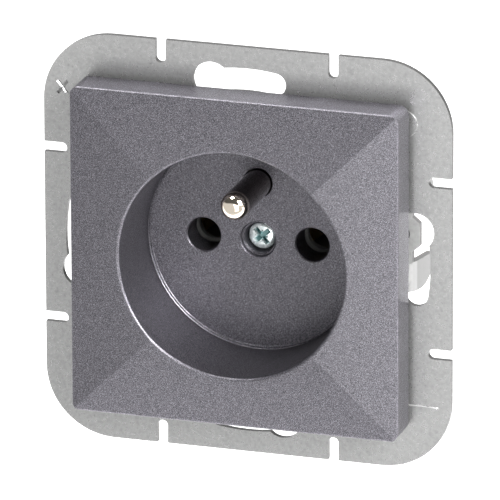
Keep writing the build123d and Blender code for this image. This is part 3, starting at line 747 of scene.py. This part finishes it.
def turned_piece(name, rings):
    """Closed piece about the Y axis from a run of rings."""
    verts = []
    for depth, radii in rings:
        for step, radius in enumerate(radii):
            angle = 2 * math.pi * step / SCREW_SEGMENTS
            verts.append((radius * math.cos(angle), depth, radius * math.sin(angle)))
    faces = [tuple(range(SCREW_SEGMENTS)), tuple(range(len(verts) - SCREW_SEGMENTS, len(verts)))]
    for ring in range(len(rings) - 1):
        first = ring * SCREW_SEGMENTS
        for step in range(SCREW_SEGMENTS):
            a = first + step
            b = first + (step + 1) % SCREW_SEGMENTS
            faces.append((a, b, b + SCREW_SEGMENTS, a + SCREW_SEGMENTS))
    return mesh_object(name, verts, faces)


def tapered_bar(front, back, mouth, foot, turn):
    """Bar along the line of a screw slot, from its mouth's length and width to its foot's."""
    verts = []
    for depth, (length, width) in ((front, mouth), (back, foot)):
        for x, z in ((-1, -1), (1, -1), (1, 1), (-1, 1)):
            corner = Vector((x * length / 2, z * width / 2))
            corner.rotate(Matrix.Rotation(turn, 2))
            verts.append((corner.x, depth, corner.y))
    faces = [(0, 1, 2, 3), (4, 5, 6, 7)]
    faces += [(i, (i + 1) % 4, (i + 1) % 4 + 4, i + 4) for i in range(4)]
    return mesh_object("slot_cutter", verts, faces)


def cut_away(piece, cutter):
    """Takes the cutter out of the piece."""
    modifier = piece.modifiers.new("cut", "BOOLEAN")
    modifier.operation = "DIFFERENCE"
    modifier.solver = "EXACT"
    modifier.object = cutter
    bpy.context.view_layer.objects.active = piece
    bpy.ops.object.modifier_apply(modifier=modifier.name)
    bpy.data.objects.remove(cutter)


def seat_screw(piece, x, z, body, node, material):
    """Scales a screw made in millimetres, sets it on its axis, and lets it stand for its solid."""
    for vertex in piece.data.vertices:
        vertex.co = Vector((vertex.co.x + x, vertex.co.y, vertex.co.z + z)) / MM_PER_METRE
    piece.data.shade_smooth()
    piece.data.set_sharp_from_angle(angle=SCREW_SHARP_ANGLE)
    piece.data.materials.append(material)
    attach(piece, body)
    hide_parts(node)


def box_in_mm(node):
    """Low and high corner of a node in millimetres."""
    low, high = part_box(node)
    return low * MM_PER_METRE, high * MM_PER_METRE


def cut_cross(screw, front, bar, turns):
    """Cuts bars of one depth, mouth and foot into the cover screw's head, one at each turn."""
    depth, mouth, foot = bar
    for turn in turns:
        cutter = tapered_bar(front - CROSS_CUTTER_LEAD, front + depth, mouth, foot, CROSS_TURN + turn)
        cut_away(screw, cutter)


class SOCKET_OT_make_cover_screw(bpy.types.Operator):
    """Pan-head screw with a cross recess, which holds the cover"""

    bl_idname = "socket.make_cover_screw"
    bl_label = "Make Cover Screw"

    def execute(self, context):
        low, high = box_in_mm("cover_screw")
        radius = (high.x - low.x) / 2
        front = low.y
        seat = front + COVER_HEAD_DEPTH
        head = [(front + depth, share * radius) for depth, share in COVER_HEAD]
        head += [(seat, radius), (seat, COVER_ROOT)]
        rings = plain_rings(head)
        rings += thread_rings(seat + COVER_NECK, high.y - COVER_END_TAPER, COVER_ROOT, COVER_CREST)
        rings += plain_rings([(high.y, COVER_END_RADIUS)])
        screw = turned_piece("cross_screw", rings)
        cut_cross(screw, front, CROSS_ARM, (0, math.pi / 2))
        cut_cross(screw, front, CROSS_NOTCH, (math.pi / 4, 3 * math.pi / 4))
        colours = finishes()
        # Painted highlight: the head's zinc is painted bright, as if lit
        material = grained_material(
            "Zinc with painted light and shade",
            colours.painted_zinc_highlight,
            metallic=0.7,
            roughness=0.2,
            scale=1500.0,
            strength=0.8,
            bump=1.0,
        )
        # Painted shade: the zinc darkens down the cross recess
        shade_start = (front + CROSS_SHADE_START) / MM_PER_METRE
        shade_end = (front + CROSS_SHADE_END) / MM_PER_METRE
        shade_with_depth(material, shade_start, shade_end, colours.painted_recess_shade)
        seat_screw(screw, 0.0, 0.0, "socket", "cover_screw", material)
        return {"FINISHED"}


class SOCKET_OT_make_claw_screws(bpy.types.Operator):
    """Long threaded screws with slotted round heads, which draw the claws"""

    bl_idname = "socket.make_claw_screws"
    bl_label = "Make Claw Screws"

    def execute(self, context):
        colour = finishes().screw_steel
        material = grained_material("Screw steel", colour, roughness=0.36, strength=0.15, **PLAIN_METAL)
        for side in ("right", "left"):
            low, high = box_in_mm(f"claw_screw_{side}")
            radius = (high.x - low.x) / 2
            centre = low.y + BALL_FRONT
            start = math.asin(-BALL_FRONT / radius)
            end = math.acos(CLAW_NECK_RADIUS / radius)
            turns = [start + (end - start) * step / BALL_STEPS for step in range(BALL_STEPS + 1)]
            head = [(centre + radius * math.sin(turn), radius * math.cos(turn)) for turn in turns]
            head.append((CLAW_NECK_END, CLAW_NECK_RADIUS))
            thread_start = CLAW_NECK_END + CLAW_THREAD_LEAD
            rings = plain_rings(head)
            rings += thread_rings(thread_start, high.y - CLAW_END_TAPER, CLAW_ROOT, CLAW_CREST)
            rings += plain_rings([(high.y, CLAW_END_RADIUS)])
            screw = turned_piece(f"slotted_screw_{side}", rings)
            slot = (SLOT_CUTTER_RADII * radius, SLOT_WIDTH)
            cut_away(screw, tapered_bar(low.y - SLOT_CUTTER_LEAD, low.y + SLOT_DEPTH, slot, slot, 0.0))
            x = (low.x + high.x) / 2
            z = (low.z + high.z) / 2
            seat_screw(screw, x, z, f"{side}_claw", f"claw_screw_{side}", material)
        return {"FINISHED"}


def direction(azimuth, elevation):
    """Unit vector from the socket towards an azimuth and an elevation, both in radians."""
    level = math.cos(elevation)
    return Vector((math.sin(azimuth) * level, -math.cos(azimuth) * level, math.sin(elevation)))


def add_softbox(name, power, azimuth, elevation, distance, size):
    """Square area light that faces the socket, with its angles in degrees."""
    light = bpy.data.lights.new(name, "AREA")
    light.shape = "SQUARE"
    light.size = size
    light.energy = power
    lamp = bpy.data.objects.new(name, light)
    towards = direction(math.radians(azimuth), math.radians(elevation))
    lamp.location = towards * distance
    lamp.rotation_euler = towards.to_track_quat("Z", "Y").to_euler()
    bpy.context.scene.collection.objects.link(lamp)


def seen_ray(tree):
    """Value socket that is 1 for camera, glossy and transmission rays and 0 for all others."""
    rays = tree.nodes.new("ShaderNodeLightPath").outputs
    direct = math_node(tree, "MAXIMUM", rays["Is Camera Ray"], rays["Is Glossy Ray"])
    return math_node(tree, "MAXIMUM", direct, rays["Is Transmission Ray"])


def add_world(ambient, room, table):
    """White backdrop for the camera and in mirror images, a dimmer room in front, even light on the rest."""
    world = bpy.data.worlds.new("Studio")
    world.use_nodes = True
    tree = world.node_tree
    rays = tree.nodes.new("ShaderNodeLightPath").outputs
    mirrored = math_node(tree, "MAXIMUM", rays["Is Glossy Ray"], rays["Is Transmission Ray"])
    heading = coordinates(tree, "Generated")
    front = ramp_node(tree, heading["Z"], *TABLE_EDGE, room, table)
    below = ramp_node(tree, heading["Z"], *WHITE_BELOW, front)
    around = ramp_node(tree, heading["Y"], *BACKDROP_EDGE, below)
    mirror_light = math_node(tree, "MULTIPLY", mirrored, around)
    seen = math_node(tree, "MAXIMUM", rays["Is Camera Ray"], mirror_light)
    other = math_node(tree, "SUBTRACT", 1.0, math_node(tree, "MAXIMUM", rays["Is Camera Ray"], mirrored))
    strength = math_node(tree, "ADD", seen, math_node(tree, "MULTIPLY", other, ambient))
    background = tree.nodes["Background"]
    background.inputs["Color"].default_value = WHITE
    tree.links.new(strength, background.inputs["Strength"])
    bpy.context.scene.world = world


def add_floor(drop):
    """Pale floor from a little in front of the socket to far behind it, which still takes its shadow."""
    size = FLOOR_PLATES * PLATE_WIDTH
    middle_y = size / 2 - FLOOR_FRONT_PLATES * PLATE_WIDTH
    bpy.ops.mesh.primitive_plane_add(size=size, location=(0, middle_y, PLATE_LOW.z - drop))
    floor = bpy.context.object
    floor.name = "studio_floor"
    material, tree, shader = new_material("Pale floor")
    shader.inputs["Base Color"].default_value = FLOOR_GREY
    shader.inputs["Roughness"].default_value = FLOOR_ROUGHNESS
    shader.inputs["Emission Color"].default_value = WHITE
    glow = math_node(tree, "MULTIPLY", seen_ray(tree), FLOOR_GLOW)
    tree.links.new(glow, shader.inputs["Emission Strength"])
    floor.data.materials.append(material)


class SOCKET_OT_set_stage(bpy.types.Operator):
    """Camera, softboxes, surroundings and floor"""

    bl_idname = "socket.set_stage"
    bl_label = "Set Stage"

    def execute(self, context):
        settings = context.scene.socket_stage
        camera_data = bpy.data.cameras.new("photo_camera")
        camera_data.sensor_width = SENSOR_WIDTH
        camera_data.lens = settings.plate_share * SENSOR_WIDTH * settings.distance / PLATE_WIDTH
        camera_data.clip_end = CAMERA_REACH
        camera = bpy.data.objects.new("photo_camera", camera_data)
        towards = direction(settings.azimuth, settings.elevation)
        aim = Vector((settings.aim_side, PLATE_LOW.y, settings.aim_rise))
        camera.location = aim + towards * settings.distance
        level = towards.to_track_quat("Z", "Y")
        camera.rotation_euler = (level @ Quaternion((0, 0, 1), settings.roll)).to_euler()
        context.scene.collection.objects.link(camera)
        context.scene.camera = camera
        context.scene.view_settings.view_transform = "Standard"
        add_softbox("key_softbox", settings.key_power, azimuth=50, elevation=28, distance=0.9, size=0.47)
        add_softbox("front_softbox", settings.front_power, azimuth=10, elevation=-8, distance=1.2, size=0.75)
        add_softbox("side_softbox", settings.side_power, azimuth=74, elevation=-12, distance=0.9, size=0.25)
        add_softbox("top_softbox", settings.top_power, azimuth=-42, elevation=64, distance=0.9, size=0.3)
        add_softbox("rim_softbox", settings.rim_power, azimuth=150, elevation=65, distance=0.9, size=0.4)
        add_world(settings.ambient, settings.room, settings.table)
        add_floor(settings.floor_drop)
        return {"FINISHED"}


class SOCKET_PT_sidebar(bpy.types.Panel):
    """Sidebar panel that lists the socket's operators"""

    bl_idname = "SOCKET_PT_sidebar"
    bl_label = "Wall Socket"
    bl_space_type = "VIEW_3D"
    bl_region_type = "UI"
    bl_category = "Wall Socket"

    def draw(self, context):
        for operator in OPERATORS:
            self.layout.operator(operator.bl_idname)


OPERATORS = (
    SOCKET_OT_dress_cover,
    SOCKET_OT_dress_plate,
    SOCKET_OT_dress_metalwork,
    SOCKET_OT_dress_plastics,
    SOCKET_OT_make_cover_screw,
    SOCKET_OT_make_claw_screws,
    SOCKET_OT_set_stage,
)
CLASSES = (SocketFinishSettings, SocketStageSettings, *OPERATORS, SOCKET_PT_sidebar)


def register():
    """Registers the classes and hangs the settings on the scene."""
    for cls in CLASSES:
        bpy.utils.register_class(cls)
    bpy.types.Scene.socket_finishes = bpy.props.PointerProperty(type=SocketFinishSettings)
    bpy.types.Scene.socket_stage = bpy.props.PointerProperty(type=SocketStageSettings)


def unregister():
    """Takes the settings and the classes away again."""
    del bpy.types.Scene.socket_stage
    del bpy.types.Scene.socket_finishes
    for cls in reversed(CLASSES):
        bpy.utils.unregister_class(cls)


def main():
    """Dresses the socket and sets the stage."""
    register()
    bpy.ops.socket.dress_cover()
    bpy.ops.socket.dress_plate()
    bpy.ops.socket.dress_metalwork()
    bpy.ops.socket.dress_plastics()
    bpy.ops.socket.make_cover_screw()
    bpy.ops.socket.make_claw_screws()
    bpy.ops.socket.set_stage()


if __name__ == "__main__":
    main()
